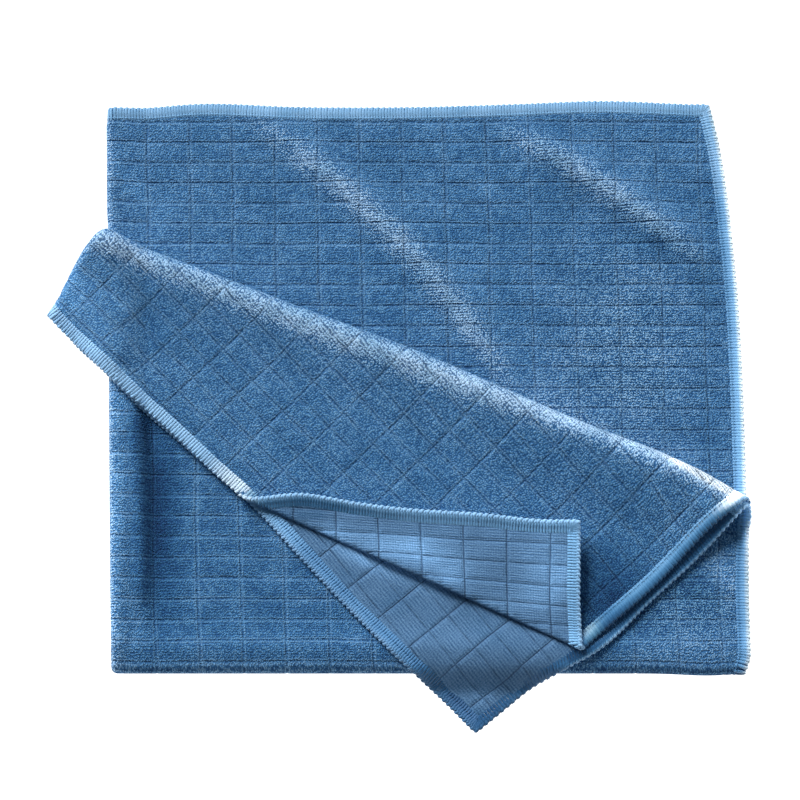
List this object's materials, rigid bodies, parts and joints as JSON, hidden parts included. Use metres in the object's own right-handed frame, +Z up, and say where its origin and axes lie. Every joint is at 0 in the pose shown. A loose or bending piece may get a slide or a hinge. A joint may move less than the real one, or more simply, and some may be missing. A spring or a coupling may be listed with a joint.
{
  "type": "microfibre cloth",
  "caption": "Blue microfibre cleaning cloth with a grid-patterned pile and an overlocked hem, folded into a flat pile with one corner turned back over it.",
  "frame": {"origin": "centre of the folded cloth's bounding box, on the table it lies on", "axes": "+Z up from the table, +Y away from the viewer towards the pile's hemmed far edge, +X to the viewer's right, towards the pile's right hems"},
  "size_m": [0.3242, 0.2962, 0.0249],
  "materials": {
    "cloth": "matte"
  },
  "bodies": {
    "root": {"cloth": "cloth"}
  },
  "joints": []
}
